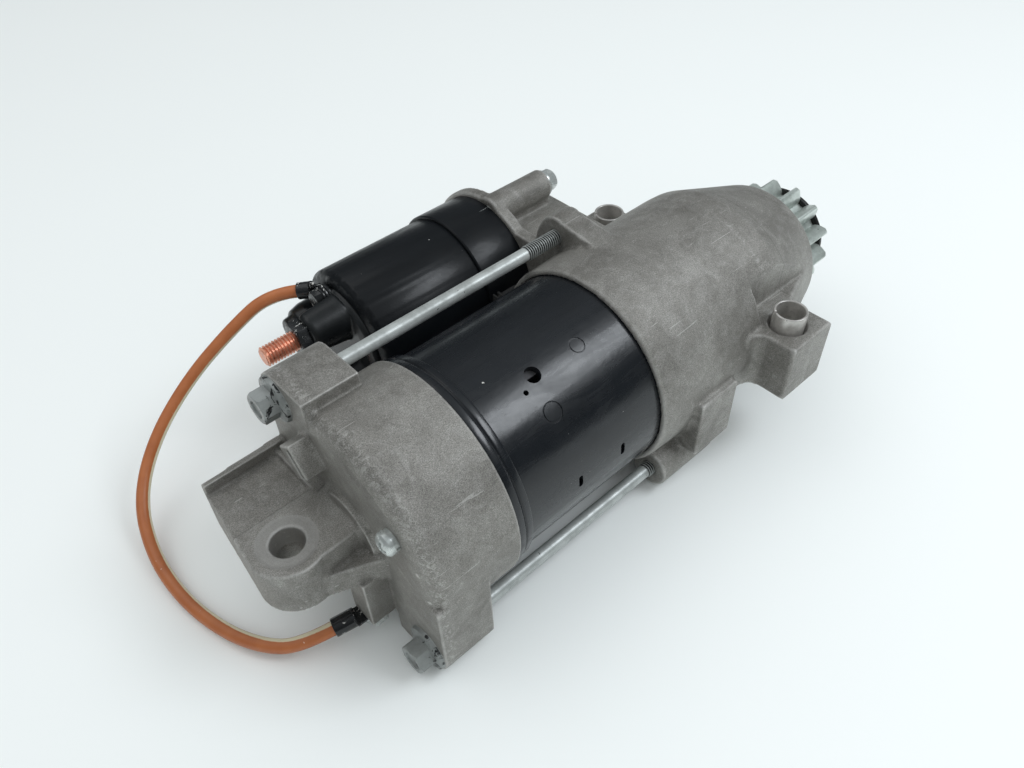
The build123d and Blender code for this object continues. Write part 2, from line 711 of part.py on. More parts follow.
def drive_shaft():
    """Planet carrier, splined shaft and front journal in one piece."""
    tip = x_pinion[1] - throw
    rim = centre_distance + 7.0
    body = turned([(x_carrier[0], 0), (x_carrier[0], rim), (x_carrier[1], rim),
                   (x_carrier[1], shaft_radius), (x_bracket[1] + 0.2, shaft_radius),
                   (x_bracket[1] + 0.2, shaft_radius - 1.5), (tip - 1, shaft_radius - 1.5),
                   (tip, shaft_radius - 2.5), (tip, 0)])
    rib = block(x_bracket[1] + 0.2, spline_end, -1.5, 1.5, shaft_radius - 3, shaft_radius)
    for piece in around(rib, 8):
        body += piece
    body -= rod(x_carrier[0] - 1, x_bracket[1] - 0.5, front_journal + run_gap)
    for place in planet_places():
        body -= Rot(place, 0, 0) * rod(x_carrier[0] - 1, x_carrier[1] + 1, pin_radius, centre_distance)
    return body


def spline_bore(x0, x1):
    """The hole that slides on the splined shaft."""
    hole = rod(x0, x1, shaft_radius - 1.5 + run_gap)
    for piece in around(block(x0, x1, -1.56, 1.56, 5, shaft_radius + run_gap), 8):
        hole += piece
    return hole


def planet_pins():
    pin = rod(x_plate[1] + 0.3, x_carrier[1], pin_radius, centre_distance)
    return [Rot(place, 0, 0) * pin for place in planet_places()]


def centre_bracket():
    body = tube(x_bracket[0], x_bracket[1], shell_bore, shaft_radius + 2.5)
    return body - block(x_bracket[0] + 2.0, x_bracket[1] + 1, 24.0, 40.0, -16.0, 16.0)


def centre_bush():
    return tube(x_bracket[0], x_bracket[1], shaft_radius + 2.5, shaft_radius + run_gap)


# clutch and pinion

def clutch_sleeve():
    """The grooved sleeve that the lever's fork pushes."""
    rim = (sleeve_span - groove_width) / 2
    body = turned([(sleeve_x, 0), (sleeve_x, flange_radius), (sleeve_x + rim, flange_radius),
                   (sleeve_x + rim, groove_radius), (sleeve_x + rim + groove_width, groove_radius),
                   (sleeve_x + rim + groove_width, flange_radius), (x_drum[0], flange_radius),
                   (x_drum[0], 0)])
    return body - spline_bore(sleeve_x - 1, x_drum[0] + 1)


def clutch_outer():
    body = rod(x_drum[0], x_drum[1] - 1.5, clutch_radius) - spline_bore(x_drum[0] - 1, x_drum[0] + 5)
    body -= rod(race_x - 1.0, x_drum[1], race_radius + 2 * run_gap)
    pocket = rod(race_x + 0.5, x_drum[1], roller_radius + run_gap, race_radius + roller_radius + run_gap)
    for piece in around(pocket, roller_count, 30):
        body -= piece
    return body


def clutch_rollers():
    roller = rod(race_x + 0.6, x_drum[1] - 2.0, roller_radius, race_radius + roller_radius + run_gap)
    return around(roller, roller_count, 30)


def clutch_cover():
    """The pressed shell that closes the roller pockets."""
    x0, x1 = x_drum
    return turned([(x0 + 1.0, clutch_radius), (x0 + 1.0, clutch_radius + 1.2),
                   (x1 - 1.0, clutch_radius + 1.2), (x1, clutch_radius + 0.2), (x1, race_radius + 0.8),
                   (x1 - 1.5, race_radius + 0.8), (x1 - 1.5, clutch_radius)])


def pinion_radii():
    pitch = pinion_module * pinion_teeth / 2
    return pitch + pinion_module * (1 + pinion_shift), pitch - pinion_module * (1.25 - pinion_shift)


def pinion():
    """Pinion teeth, quill and the clutch's inner race in one piece."""
    tip, root = pinion_radii()
    thick = pinion_module * (pi / 2 + 2 * pinion_shift * tan(pressure)) - 0.1
    teeth = gear(pinion_teeth, pinion_module, thick, tip, root, *x_pinion)
    x0, x1 = x_pinion
    teeth &= turned([(x0, 0), (x0, tip - 1.0), (x0 + 1.0, tip + 1), (x1 - 1.0, tip + 1), (x1 - 1.0, tip),
                     (x1, tip - 0.9), (x1, 0)])
    teeth = Rot(pinion_turn, 0, 0) * teeth
    body = teeth + rod(x_drum[1] + 1.5, x0 + 1, quill_radius)
    body += rod(race_x, x_drum[1] + 2, race_radius)
    body -= rod(race_x - 1, spline_end + 0.9, shaft_radius + 0.3)
    body -= rod(race_x - 1, x1 - 4.0, shaft_radius - 1.5 + run_gap)
    body -= rod(x1 - 5.0, x1 + 1, 11.0)
    return body


def pinion_cap():
    """The dark stop ring closing the pinion's open end."""
    x1 = x_pinion[1]
    root = pinion_radii()[1]
    return turned([(x1 - 4.0, 0), (x1 - 4.0, 11.0), (x1, 11.0), (x1, root + 2.2), (x1 + 1.6, root + 2.2),
                   (x1 + 2.6, root + 1.2), (x1 + 2.6, 6.0), (x1 + 1.2, 5.0), (x1 + 1.2, 0)])


def bearing_race(inner, outer):
    middle = (x_bearing[0] + x_bearing[1]) / 2
    track = (bearing_radius + quill_radius) / 2
    ring = tube(x_bearing[0], x_bearing[1], outer, inner)
    groove = Pos(middle, 0, 0) * Rot(0, 90, 0) * Torus(track, ball_radius + run_gap)
    return ring - groove


def front_bearing():
    """Ball bearing in the nose: outer ring, inner ring and balls."""
    track = (bearing_radius + quill_radius) / 2
    middle = (x_bearing[0] + x_bearing[1]) / 2
    outer = bearing_race(track + 1.6, bearing_radius)
    inner = bearing_race(quill_radius + run_gap, track - 1.6)
    ball = Pos(middle, track, 0) * Sphere(ball_radius)
    return [outer, inner] + around(ball, ball_count)


def nose_seal():
    x = x_bearing[1]
    return turned([(x, bearing_radius), (x, quill_radius + 1.5), (x + 1.2, quill_radius + 1.5),
                   (x + 1.8, quill_radius + run_gap), (x + 2.4, quill_radius + run_gap),
                   (x + 3.0, quill_radius + 2.5), (x + 3.5, bearing_radius)])


# lever

def shift_lever():
    """The forked lever, drawn upright and then leaned back to its rest angle."""
    half = lever_thick / 2
    body = post(0, 0, -6.0, 6.0, 6.0)
    body += block(-half, half, -14.0, 6.0, -6.0, 6.0)
    body += block(-half, half, -17.5, -12.0, -17.5, 17.5)
    for side in (-1, 1):
        body += block(-half, half, -lever_low - 3.5, -12.0, side * 15.5, side * 17.5)
        body += post(0, -lever_low, side * 14.4, side * 17.5, pad_radius)
    body += block(-half, half, 0.0, lever_top, -2.5, 2.5)
    body += post(0, lever_top, -2.5, 2.5, 3.9)
    body -= post(0, 0, -8, 8, pivot_radius + run_gap)
    return Pos(x_pivot, lever_low, 0) * Rot(0, 0, -degrees(swing / 2)) * body


def lever_pin():
    return post(x_pivot, lever_low, -19.0, 19.0, pivot_radius)


def lever_packing():
    """The ribbed rubber block that seals the lever opening between housing and yoke."""
    body = block(x_rim, x_rim + 8.0, yoke_radius - 4, shell_radius + 3.0, -11.0, 11.0)
    body += block(x_rim - 4.5, x_rim, yoke_radius - 4, shell_radius + 2.0, -11.0, 11.0)
    for x in (x_rim - 3.4, x_rim - 1.2):
        body += block(x - 0.5, x + 0.5, yoke_radius - 2, shell_radius + 3.4, -12.0, 12.0)
    return body - rod(x_rim - 10, x_rim + 12, yoke_radius)


# solenoid

def solenoid_can():
    outer = turned([(x_can, 0), (x_can, can_radius - 4.0), (x_can + 0.8, can_radius - 1.8),
                    (x_can + 2.6, can_radius - 0.3), (x_can + 3.6, can_radius), (x_seam, can_radius),
                    (x_seam + 1.0, can_radius), (x_seam + 1.0, 0)], coil_axis_y)
    outer -= rod(x_can - 1, x_can + 3.0, cap_radius, coil_axis_y)
    return outer - rod(x_can + 2.9, x_seam + 2, can_radius - case_wall, coil_axis_y)


def solenoid_shell():
    """The thicker front half of the case, with the tapped front plate."""
    radius = can_radius + shell_step
    body = turned([(x_seam, 0), (x_seam, radius - 0.5), (x_seam + 0.6, radius), (x_seat, radius),
                   (x_seat, 0)], coil_axis_y)
    body -= rod(x_seam - 1, x_seam + 1.0, can_radius, coil_axis_y)
    body -= rod(x_seam, x_seat - 5.5, can_radius - case_wall, coil_axis_y)
    body -= rod(x_seat - 6, x_seat + 1, plunger_radius + 0.6, coil_axis_y)
    for z in (bolt_spot[1], -bolt_spot[1]):
        body -= rod(x_seat - 4.5, x_seat + 1, solenoid_bolt, bolt_spot[0], z)
    return body


def solenoid_core():
    body = rod(x_can + 8.0, x_can + 12.0, can_radius - case_wall, coil_axis_y)
    body += rod(x_can + 8.0, x_stop, plunger_radius + 0.8, coil_axis_y)
    return body - rod(x_can + 7, x_stop + 1, push_radius + run_gap, coil_axis_y)


def solenoid_bobbin():
    x0 = x_can + 12.0
    x1 = x_seat - 5.5
    outer = can_radius - case_wall
    body = tube(x0, x1, plunger_radius + 2.0, plunger_radius + 0.8, coil_axis_y)
    body += tube(x0, x0 + 1.4, outer, plunger_radius + 0.8, coil_axis_y)
    return body + tube(x1 - 1.4, x1, outer, plunger_radius + 0.8, coil_axis_y)


def solenoid_coil():
    return tube(x_can + 13.4, x_seat - 6.9, can_radius - case_wall - 0.8, plunger_radius + 2.0, coil_axis_y)


def plunger():
    body = rod(x_rear_face, x_seat - 3.0, plunger_radius, coil_axis_y)
    body += rod(x_seat - 3.0, x_seat + 1.0, plunger_radius - 2.5, coil_axis_y)
    return body - rod(x_rear_face + 12.0, x_seat + 2, rod_radius, coil_axis_y)


def plunger_hook():
    """The slotted rod that the lever's upper end drops into."""
    end = x_hook + 7.4
    body = rod(x_rear_face + 12.0, x_seat + 1.0, rod_radius, coil_axis_y)
    body += rod(x_seat + 1.0, end, hook_radius, coil_axis_y)
    return body - block(x_hook - 4.5, x_hook + 4.5, coil_axis_y - 8, coil_axis_y + 8, -3.1, 3.1)


def plunger_spring():
    return coil(x_seat + 1.2, x_spring_seat - 0.6, 9.6, 0.5, 4, coil_axis_y)


def spring_seat():
    """The washer on the plunger rod that the return spring pushes against."""
    return tube(x_spring_seat, x_spring_seat + 1.2, 11.5, hook_radius, coil_axis_y)


def contact_disc():
    """The copper bridge that joins the two power studs."""
    return tube(x_disc, x_disc + 2.0, 13.0, push_radius, coil_axis_y)


def push_rod():
    """The insulated rod through the fixed core that carries the contact disc."""
    return rod(x_disc - 0.7, x_stop + contact_travel - 0.1, push_radius, coil_axis_y)


def solenoid_cap():
    """The moulded cap: two stud towers, a blind tower beside them and the signal screw's seat."""
    body = turned([(x_can + 3.0, 0), (x_can + 3.0, cap_radius), (x_can - 0.6, cap_radius - 0.3),
                   (x_can - 2.0, cap_radius - 1.4), (x_can - 2.8, cap_radius - 4.5),
                   (x_can - 2.8, 0)], coil_axis_y)
    for name, seat in stud_seats.items():
        y, z = stud_places[name]
        body += turned([(x_can - 2.0, 0), (x_can - 2.0, 9.6), (seat + 1.4, 8.2), (seat, 7.2),
                        (seat, 0)], y, z)
    y, z = blind_tower
    body += turned([(x_can - 2.0, 0), (x_can - 2.0, 8.4), (x_can - 9.0, 8.2), (x_can - 13.4, 7.0),
                    (x_can - 14.4, 5.6), (x_can - 17.0, 5.2), (x_can - 17.6, 4.6), (x_can - 17.6, 0)], y, z)
    y, z = signal_spot
    body -= rod(x_can - 20, signal_face, signal_room, y, z)
    body += rod(signal_face, x_can - 1.0, 4.6, y, z)
    body -= rod(signal_face - 1, x_can + 0.5, signal_radius, y, z)
    body -= rod(x_can + 0.8, x_can + 4, flange_room, coil_axis_y)
    for name in stud_places:
        body -= rod(x_can - 30, x_can + 4, stud_radius, *stud_places[name])
    return body


def power_stud(name, reach):
    """One stud, its thread outside the cap and its flat contact head inside."""
    y, z = stud_places[name]
    seat = stud_seats[name]
    body = threaded(seat - reach, seat, stud_radius, stud_pitch, y, z)
    body += rod(seat, x_can + 0.8, stud_radius, y, z)
    return body + rod(x_can + 0.8, x_contact, contact_radius, y, z)


def battery_stud():
    return power_stud("battery", stud_reach)


def motor_stud():
    return power_stud("motor", 10.0)


def stud_nuts():
    pieces = []
    for name, seat in stud_seats.items():
        y, z = stud_places[name]
        nut = hexagon(seat - nut_height, seat, nut_flats, y, z)
        nut &= turned([(seat - nut_height, 0), (seat - nut_height, 6.1), (seat - nut_height + 0.8, 7.0),
                       (seat, 7.0), (seat, 0)], y, z)
        pieces.append(nut - rod(seat - 10, seat + 1, stud_radius, y, z))
    return pieces


def signal_screw():
    """The small terminal screw that holds the lead's front ring on the cap."""
    y, z = signal_spot
    ring = signal_face - ring_thick
    body = rod(ring - 0.5, x_can + 0.2, signal_radius, y, z)
    body += rod(ring - 0.9, ring, 4.2, y, z)
    cap = hexagon(ring - 3.9, ring - 0.8, 7.0, y, z)
    cap &= turned([(ring - 3.9, 0), (ring - 3.9, 3.3), (ring - 3.3, 4.1), (ring, 4.1), (ring, 0)], y, z)
    return body + cap


# ground lead

def lead_points():
    """The lead's route from the front crimp, out behind the motor and back to the rear crimp."""
    between = [(-148.0, 103.0, 8.5), (-169.5, 105.5, -5.5), (-191.5, 100.5, -19.5), (-207.5, 88.0, -31.0),
               (-214.5, 68.0, -38.0), (-215.0, 45.0, -40.45), (-210.5, 23.5, -40.3), (-203.5, 7.5, -38.2)]
    ends = [past_crimp("front", 0), past_crimp("front", exit_run)]
    ends += [past_crimp("rear", exit_run), past_crimp("rear", 0)]
    return ends[:2] + [Vector(*p) for p in between] + ends[2:]


def ground_lead():
    """The insulated lead: straight runs joined by the largest tangent arcs they leave room for."""
    points = lead_points()
    radii = []
    for before, here, after in zip(points, points[1:], points[2:]):
        turn = radians((here - before).get_angle(after - here))
        run = min((here - before).length, (after - here).length)
        radii.append(0.45 * run / tan(turn / 2))
    path = FilletPolyline(*points, radius=radii)
    lead = sweep(Plane(origin=path @ 0, z_dir=path % 0) * Circle(lead_radius), path=path)
    print("lead radii", [round(r, 1) for r in radii], "length", round(path.length, 1))
    section_times_length = pi * lead_radius**2 * path.length
    print("lead volume over section times length", round(lead.volume / section_times_length, 4))
    return lead


def past_crimp(name, distance):
    """A point straight out of a crimp barrel's open end, where the lead goes in."""
    start, way, length = crimps[name]
    return Vector(*start) + Vector(*way).normalized() * (length + distance)


def crimp_barrel(name):
    start, way, length = crimps[name]
    from_start = (Align.CENTER, Align.CENTER, Align.MIN)
    return Plane(origin=start, z_dir=way) * Cylinder(crimp_radius, length, align=from_start)


def lead_ring_front():
    """Ring terminal under the signal screw, with its crimp barrel turned towards the lead."""
    y, z = signal_spot
    back = signal_face - ring_thick
    ring = rod(back, signal_face, ring_radius, y, z) + block(back, signal_face, y, y + 8.6, z - 2.6, z + 2.6)
    return ring - rod(back - 1, signal_face + 1, signal_radius, y, z) + crimp_barrel("front")


def lead_ring_rear():
    """Ring terminal under the boss of the rear cover, with its crimp barrel behind it."""
    x, y = ground_spot
    low = ground_face - ring_thick
    ring = post(x, y, low, ground_face, ring_radius) + block(x - 8.0, x, y - 2.4, y + 4.2, low, ground_face)
    return ring - post(x, y, low - 1, ground_face + 1, ground_screw_radius) + crimp_barrel("rear")


def ground_screw():
    x, y = ground_spot
    low = ground_face - ring_thick
    body = post(x, y, low - 1.0, ground_face + 10.0, ground_screw_radius)
    body += post(x, y, low - 1.2, low, 4.9)
    return body + Pos(x, y, low - 4.4) * extrude(RegularPolygon(4.6, 6), 3.4)


write_order = {
    "drive_housing": drive_housing,
    "mount_sleeves": mount_sleeves,
    "front_bearing": front_bearing,
    "nose_seal": nose_seal,
    "yoke": yoke,
    "yoke_end_ring": yoke_end_ring,
    "magnets": magnets,
    "rear_cover": rear_cover,
    "rear_bush": rear_bush,
    "brush_holder": brush_holder,
    "brushes": brushes,
    "brush_springs": brush_springs,
    "armature_shaft": armature_shaft,
    "armature_core": armature_core,
    "armature_windings": armature_windings,
    "commutator": commutator,
    "motor_end_plate": motor_end_plate,
    "sun_gear": sun_gear,
    "ring_gear": ring_gear,
    "planet_pins": planet_pins,
    "centre_bracket": centre_bracket,
    "centre_bush": centre_bush,
    "drive_shaft": drive_shaft,
    "clutch_sleeve": clutch_sleeve,
    "clutch_outer": clutch_outer,
    "clutch_rollers": clutch_rollers,
    "clutch_cover": clutch_cover,
    "pinion": pinion,
    "pinion_cap": pinion_cap,
    "shift_lever": shift_lever,
    "lever_pin": lever_pin,
    "lever_packing": lever_packing,
    "through_bolts": through_bolts,
    "cover_screws": cover_screws,
    "cover_screw_washers": cover_screw_washers,
    "solenoid_bolts": solenoid_bolts,
    "solenoid_can": solenoid_can,
    "solenoid_shell": solenoid_shell,
    "solenoid_core": solenoid_core,
    "solenoid_bobbin": solenoid_bobbin,
    "solenoid_coil": solenoid_coil,
    "plunger": plunger,
    "plunger_hook": plunger_hook,
    "plunger_spring": plunger_spring,
    "contact_disc": contact_disc,
    "push_rod": push_rod,
    "solenoid_cap": solenoid_cap,
    "battery_stud": battery_stud,
    "motor_stud": motor_stud,
    "stud_nuts": stud_nuts,
    "signal_screw": signal_screw,
    "spring_seat": spring_seat,
    "lead_grommet": lead_grommet,
    "lead_ring_front": lead_ring_front,
    "lead_ring_rear": lead_ring_rear,
    "ground_screw": ground_screw,
    "ground_lead": ground_lead,
}

os.makedirs("parts", exist_ok=True)
for name, make in write_order.items():
    write(name, make())
for number, place in enumerate(planet_places(), 1):
    write(f"planet_gear_{number}", planet_gear(place))
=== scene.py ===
import json
from math import radians

import bmesh
import bpy
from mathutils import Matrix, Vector


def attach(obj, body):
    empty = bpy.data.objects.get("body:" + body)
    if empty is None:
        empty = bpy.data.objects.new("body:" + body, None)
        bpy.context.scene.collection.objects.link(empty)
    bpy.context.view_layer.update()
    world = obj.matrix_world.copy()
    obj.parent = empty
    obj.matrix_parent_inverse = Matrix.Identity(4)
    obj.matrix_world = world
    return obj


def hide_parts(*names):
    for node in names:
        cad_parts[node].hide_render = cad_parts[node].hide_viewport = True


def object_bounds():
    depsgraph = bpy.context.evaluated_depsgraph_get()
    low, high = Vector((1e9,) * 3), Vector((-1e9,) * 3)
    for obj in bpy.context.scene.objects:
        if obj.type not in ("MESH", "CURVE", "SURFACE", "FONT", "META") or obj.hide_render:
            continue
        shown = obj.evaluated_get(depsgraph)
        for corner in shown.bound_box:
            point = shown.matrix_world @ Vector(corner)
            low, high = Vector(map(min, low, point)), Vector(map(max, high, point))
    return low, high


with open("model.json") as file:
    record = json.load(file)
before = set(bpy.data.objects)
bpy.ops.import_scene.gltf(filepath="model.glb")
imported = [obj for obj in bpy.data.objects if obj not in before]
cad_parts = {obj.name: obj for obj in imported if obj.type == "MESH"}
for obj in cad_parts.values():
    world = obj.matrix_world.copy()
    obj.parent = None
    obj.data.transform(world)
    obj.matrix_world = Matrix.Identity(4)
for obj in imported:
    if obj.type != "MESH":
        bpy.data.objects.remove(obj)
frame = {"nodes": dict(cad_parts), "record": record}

nodes = frame["nodes"]
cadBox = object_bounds()
slotOf = {part["node"]: part["material_slot"] for part in frame["record"]["subparts"]}
print("frame loaded,", len(nodes), "nodes")


# the camera stands behind and above the rear cover, looking along the motor
cameraSetup = {
    "place": (-0.22643, -0.15103, 0.21591),
    "turn": (44.846, 1.742, -42.452),  # degrees about X, Y, Z
    "lens": 29.17,
}

cameraData = bpy.data.cameras.new("benchCamera")
cameraData.lens = cameraSetup["lens"]
cameraData.sensor_width = 36
cameraData.clip_start = 0.01
camera = bpy.data.objects.new("benchCamera", cameraData)
camera.location = cameraSetup["place"]
camera.rotation_euler = [radians(a) for a in cameraSetup["turn"]]
bpy.context.collection.objects.link(camera)
bpy.context.scene.camera = camera
print("camera placed")


# the ground lead, from the crimp on the solenoid cap round to the crimp under the lug
lead = {
    "radius": 0.0025,
    "length": 0.2148,
    "route": [
        (-0.12352, 0.09092, 0.01940), (-0.13218, 0.09910, 0.01795), (-0.1480, 0.1030, 0.0085),
        (-0.1695, 0.1055, -0.0055), (-0.1915, 0.1005, -0.0195), (-0.2075, 0.0880, -0.0310),
        (-0.2145, 0.0680, -0.0380), (-0.2150, 0.0450, -0.04045), (-0.2105, 0.0235, -0.0403),
        (-0.2035, 0.0075, -0.0382), (-0.19505, -0.00242, -0.03526), (-0.18356, -0.00553, -0.03366),
    ],
    "stripeStart": -0.20,  # turns round the lead where the cream stripe starts
    "stripeTwist": 0.36,  # turns the stripe makes by the far end
    "stripeHalf": 0.06,
    "darkBrown": (0.32, 0.085, 0.024),
    "brown": (0.52, 0.18, 0.06),
    "cream": (0.66, 0.60, 0.42),
    "dust": (0.75, 0.68, 0.58),
}


def makeLead():
    curve = bpy.data.curves.new("groundLead", "CURVE")
    curve.dimensions = "3D"
    curve.bevel_depth = lead["radius"]
    curve.bevel_resolution = 8
    curve.use_fill_caps = True
    curve.resolution_u = 14
    curve.twist_mode = "Z_UP"
    spline = curve.splines.new("NURBS")
    spline.points.add(len(lead["route"]) - 1)
    for point, place in zip(spline.points, lead["route"]):
        point.co = (*place, 1)
    spline.order_u = 3
    spline.use_endpoint_u = True
    piece = bpy.data.objects.new("groundLead", curve)
    bpy.context.collection.objects.link(piece)
    return piece


groundLead = makeLead()
print("lead laid")


# small helpers for building materials
def newMaterial(name):
    material = bpy.data.materials.new(name)
    material.use_nodes = True
    tree = material.node_tree
    shader = tree.nodes["Principled BSDF"]
    return material, tree, shader


def addNode(tree, kind, inputs=None, **settings):
    node = tree.nodes.new(kind)
    for key, value in settings.items():
        setattr(node, key, value)
    for key, value in (inputs or {}).items():
        node.inputs[key].default_value = value
    return node


def join(tree, source, target):
    tree.links.new(source, target)


def feed(tree, socket, value):
    # a number or colour is set on the socket, anything else is linked to it
    if isinstance(value, tuple):
        socket.default_value = (*value, 1)
    elif isinstance(value, (int, float)):
        socket.default_value = value
    else:
        join(tree, value, socket)


def ramp(tree, source, stops, mode="LINEAR"):
    node = tree.nodes.new("ShaderNodeValToRGB")
    node.color_ramp.interpolation = mode
    elements = node.color_ramp.elements
    while len(elements) < len(stops):
        elements.new(0.5)
    for element, (place, colour) in zip(elements, stops):
        element.position = place
        element.color = (colour, colour, colour, 1) if isinstance(colour, float) else (*colour, 1)
    join(tree, source, node.inputs["Fac"])
    return node.outputs["Color"]


def noise(tree, coordinate, scale, detail=4.0, roughness=0.55, distortion=0.0):
    node = addNode(tree, "ShaderNodeTexNoise",
                   {"Detail": detail, "Roughness": roughness, "Distortion": distortion})
    feed(tree, node.inputs["Scale"], scale)
    join(tree, coordinate, node.inputs["Vector"])
    return node.outputs["Fac"]


def mathNode(tree, operation, first, second=0.0, third=0.0):
    node = addNode(tree, "ShaderNodeMath", operation=operation)
    for socket, value in zip(node.inputs, (first, second, third)):
        feed(tree, socket, value)
    return node.outputs[0]


def mapRange(tree, value, low, high, toLow=0.0, toHigh=1.0):
    node = addNode(tree, "ShaderNodeMapRange", {"To Min": toLow, "To Max": toHigh})
    join(tree, value, node.inputs["Value"])
    feed(tree, node.inputs["From Min"], low)
    feed(tree, node.inputs["From Max"], high)
    return node.outputs["Result"]


def mixColour(tree, factor, first, second, mode="MIX"):
    node = addNode(tree, "ShaderNodeMix", data_type="RGBA", blend_type=mode)
    feed(tree, node.inputs["Factor"], factor)
    feed(tree, node.inputs[6], first)
    feed(tree, node.inputs[7], second)
    return node.outputs[2]


def objectPlace(tree):
    return tree.nodes.new("ShaderNodeTexCoord").outputs["Object"]


def stretched(tree, scale):
    # object coordinates pulled out along one direction, for streaks
    mapping = addNode(tree, "ShaderNodeMapping", {"Scale": scale})
    join(tree, objectPlace(tree), mapping.inputs["Vector"])
    return mapping.outputs["Vector"]


def newGroup(name, inputs, outputs):
    group = bpy.data.node_groups.new(name, "ShaderNodeTree")
    for label, value in inputs.items():
        socket = group.interface.new_socket(label, in_out="INPUT", socket_type="NodeSocketFloat")
        socket.default_value = value
    for label in outputs:
        group.interface.new_socket(label, in_out="OUTPUT", socket_type="NodeSocketFloat")
    start = group.nodes.new("NodeGroupInput")
    end = group.nodes.new("NodeGroupOutput")
    return group, start, end


def useGroup(tree, group, values):
    node = tree.nodes.new("ShaderNodeGroup")
    node.node_tree = group
    for key, value in values.items():
        node.inputs[key].default_value = value
    return node


def makeGrainGroup():
    # fine blasted grain, soft patches and stains over a metal casting
    group, start, end = newGroup("castGrain", {"Grain Size": 2400.0, "Patch Size": 45.0},
                                 ("Grain", "Patches", "Blotches", "Stains", "Height"))
    place = objectPlace(group)
    fine = noise(group, place, start.outputs["Grain Size"], 3.0, 0.75)
    middle = noise(group, place, 620.0, 5.0, 0.65)
    soft = noise(group, place, start.outputs["Patch Size"], 5.0, 0.6, 0.8)
    blotch = noise(group, place, 135.0, 7.0, 0.72, 1.2)
    stain = noise(group, place, 260.0, 6.0, 0.7)
    join(group, mapRange(group, fine, 0.3, 0.7), end.inputs["Grain"])
    join(group, mapRange(group, soft, 0.34, 0.68), end.inputs["Patches"])
    join(group, mapRange(group, blotch, 0.46, 0.66), end.inputs["Blotches"])
    join(group, mapRange(group, stain, 0.6, 0.74), end.inputs["Stains"])
    fineHeight = mathNode(group, "MULTIPLY", fine, 0.6)
    join(group, mathNode(group, "MULTIPLY_ADD", middle, 0.5, fineHeight), end.inputs["Height"])
    return group


def makeEdgeHighlightShadeGroup():
    # painted highlight on sharp edges and painted shade in inside corners, broken up by noise
    group, start, end = newGroup("edgeHighlightCornerShade", {"Edge Start": 0.52, "Edge End": 0.6}, ("Edge", "Corner"))
    place = objectPlace(group)
    point = group.nodes.new("ShaderNodeNewGeometry").outputs["Pointiness"]
    broken = mathNode(group, "MULTIPLY_ADD", noise(group, place, 260.0, 5.0), 0.05, -0.025)
    value = mathNode(group, "ADD", point, broken)
    edge = mapRange(group, value, start.outputs["Edge Start"], start.outputs["Edge End"])
    join(group, edge, end.inputs["Edge"])
    join(group, mapRange(group, value, 0.488, 0.44), end.inputs["Corner"])
    return group


def makeSpeckGroup():
    # small scattered flecks, such as chips, dust and spots
    group, start, end = newGroup("flecks", {"Fleck Size": 400.0, "Amount": 0.1, "Reach": 0.16}, ("Flecks",))
    place = objectPlace(group)
    moved = addNode(group, "ShaderNodeVectorMath", operation="MULTIPLY_ADD")
    join(group, noise(group, place, 900.0, 3.0), moved.inputs[0])
    moved.inputs[1].default_value = (0.002, 0.002, 0.002)
    join(group, place, moved.inputs[2])
    cells = addNode(group, "ShaderNodeTexVoronoi", feature="F1")
    join(group, moved.outputs["Vector"], cells.inputs["Vector"])
    join(group, start.outputs["Fleck Size"], cells.inputs["Scale"])
    chance = addNode(group, "ShaderNodeSeparateColor")
    join(group, cells.outputs["Color"], chance.inputs["Color"])
    chosen = mathNode(group, "LESS_THAN", chance.outputs["Red"], start.outputs["Amount"])
    size = mathNode(group, "MULTIPLY", chance.outputs["Green"], start.outputs["Reach"])
    near = mathNode(group, "LESS_THAN", cells.outputs["Distance"], size)
    join(group, mathNode(group, "MULTIPLY", near, chosen), end.inputs["Flecks"])
    return group


def makeScuffGroup():
    # rubbed patches made of short fine scratches
    group, start, end = newGroup("scuffs", {"Patch Size": 60.0, "Amount": 0.5}, ("Scuffs", "Scratches"))
    place = objectPlace(group)
    patch = noise(group, place, start.outputs["Patch Size"], 3.0, 0.5, 1.5)
    limit = mathNode(group, "SUBTRACT", 0.8, mathNode(group, "MULTIPLY", start.outputs["Amount"], 0.3))
    inside = mapRange(group, patch, limit, mathNode(group, "ADD", limit, 0.05))
    lines = noise(group, stretched(group, (240.0, 1500.0, 1500.0)), 1.0, 5.0, 0.75, 0.6)
    crumbs = noise(group, place, 1300.0, 4.0, 0.8)
    streaks = mapRange(group, lines, 0.5, 0.62)
    broken = mathNode(group, "MAXIMUM", streaks, mapRange(group, crumbs, 0.52, 0.6))
    join(group, mathNode(group, "MULTIPLY", inside, broken), end.inputs["Scuffs"])
    long = noise(group, stretched(group, (60.0, 900.0, 900.0)), 1.0, 2.0, 0.5, 0.4)
    join(group, mapRange(group, long, 0.7, 0.73), end.inputs["Scratches"])
    return group


castGrain = makeGrainGroup()
edgeHighlightCornerShade = makeEdgeHighlightShadeGroup()
flecks = makeSpeckGroup()
scuffs = makeScuffGroup()


def addBump(tree, shader, height, distance, strength=1.0):
    bump = addNode(tree, "ShaderNodeBump", {"Distance": distance, "Strength": strength})
    join(tree, height, bump.inputs["Height"])
    join(tree, bump.outputs["Normal"], shader.inputs["Normal"])
    return bump


def band(tree, value, low, high, blur):
    # one between low and high, fading out over blur
    rise = mapRange(tree, value, low - blur, low + blur)
    fall = mapRange(tree, value, high + blur, high - blur)
    return mathNode(tree, "MULTIPLY", rise, fall)


aluminium = {
    "dark": (0.205, 0.197, 0.180),
    "light": (0.315, 0.306, 0.284),
    "blotch": (0.52, 0.512, 0.488),
    # also the colour of the painted shade in inside corners
    "stain": (0.075, 0.069, 0.058),
    # for rubbed wear, and for the painted highlight on sharp edges
    "bright": (0.92, 0.91, 0.88),
    "machined": (0.36, 0.354, 0.338),
    "dieLine": 0.0140,  # where the two halves of the mould met, along the shaft
}


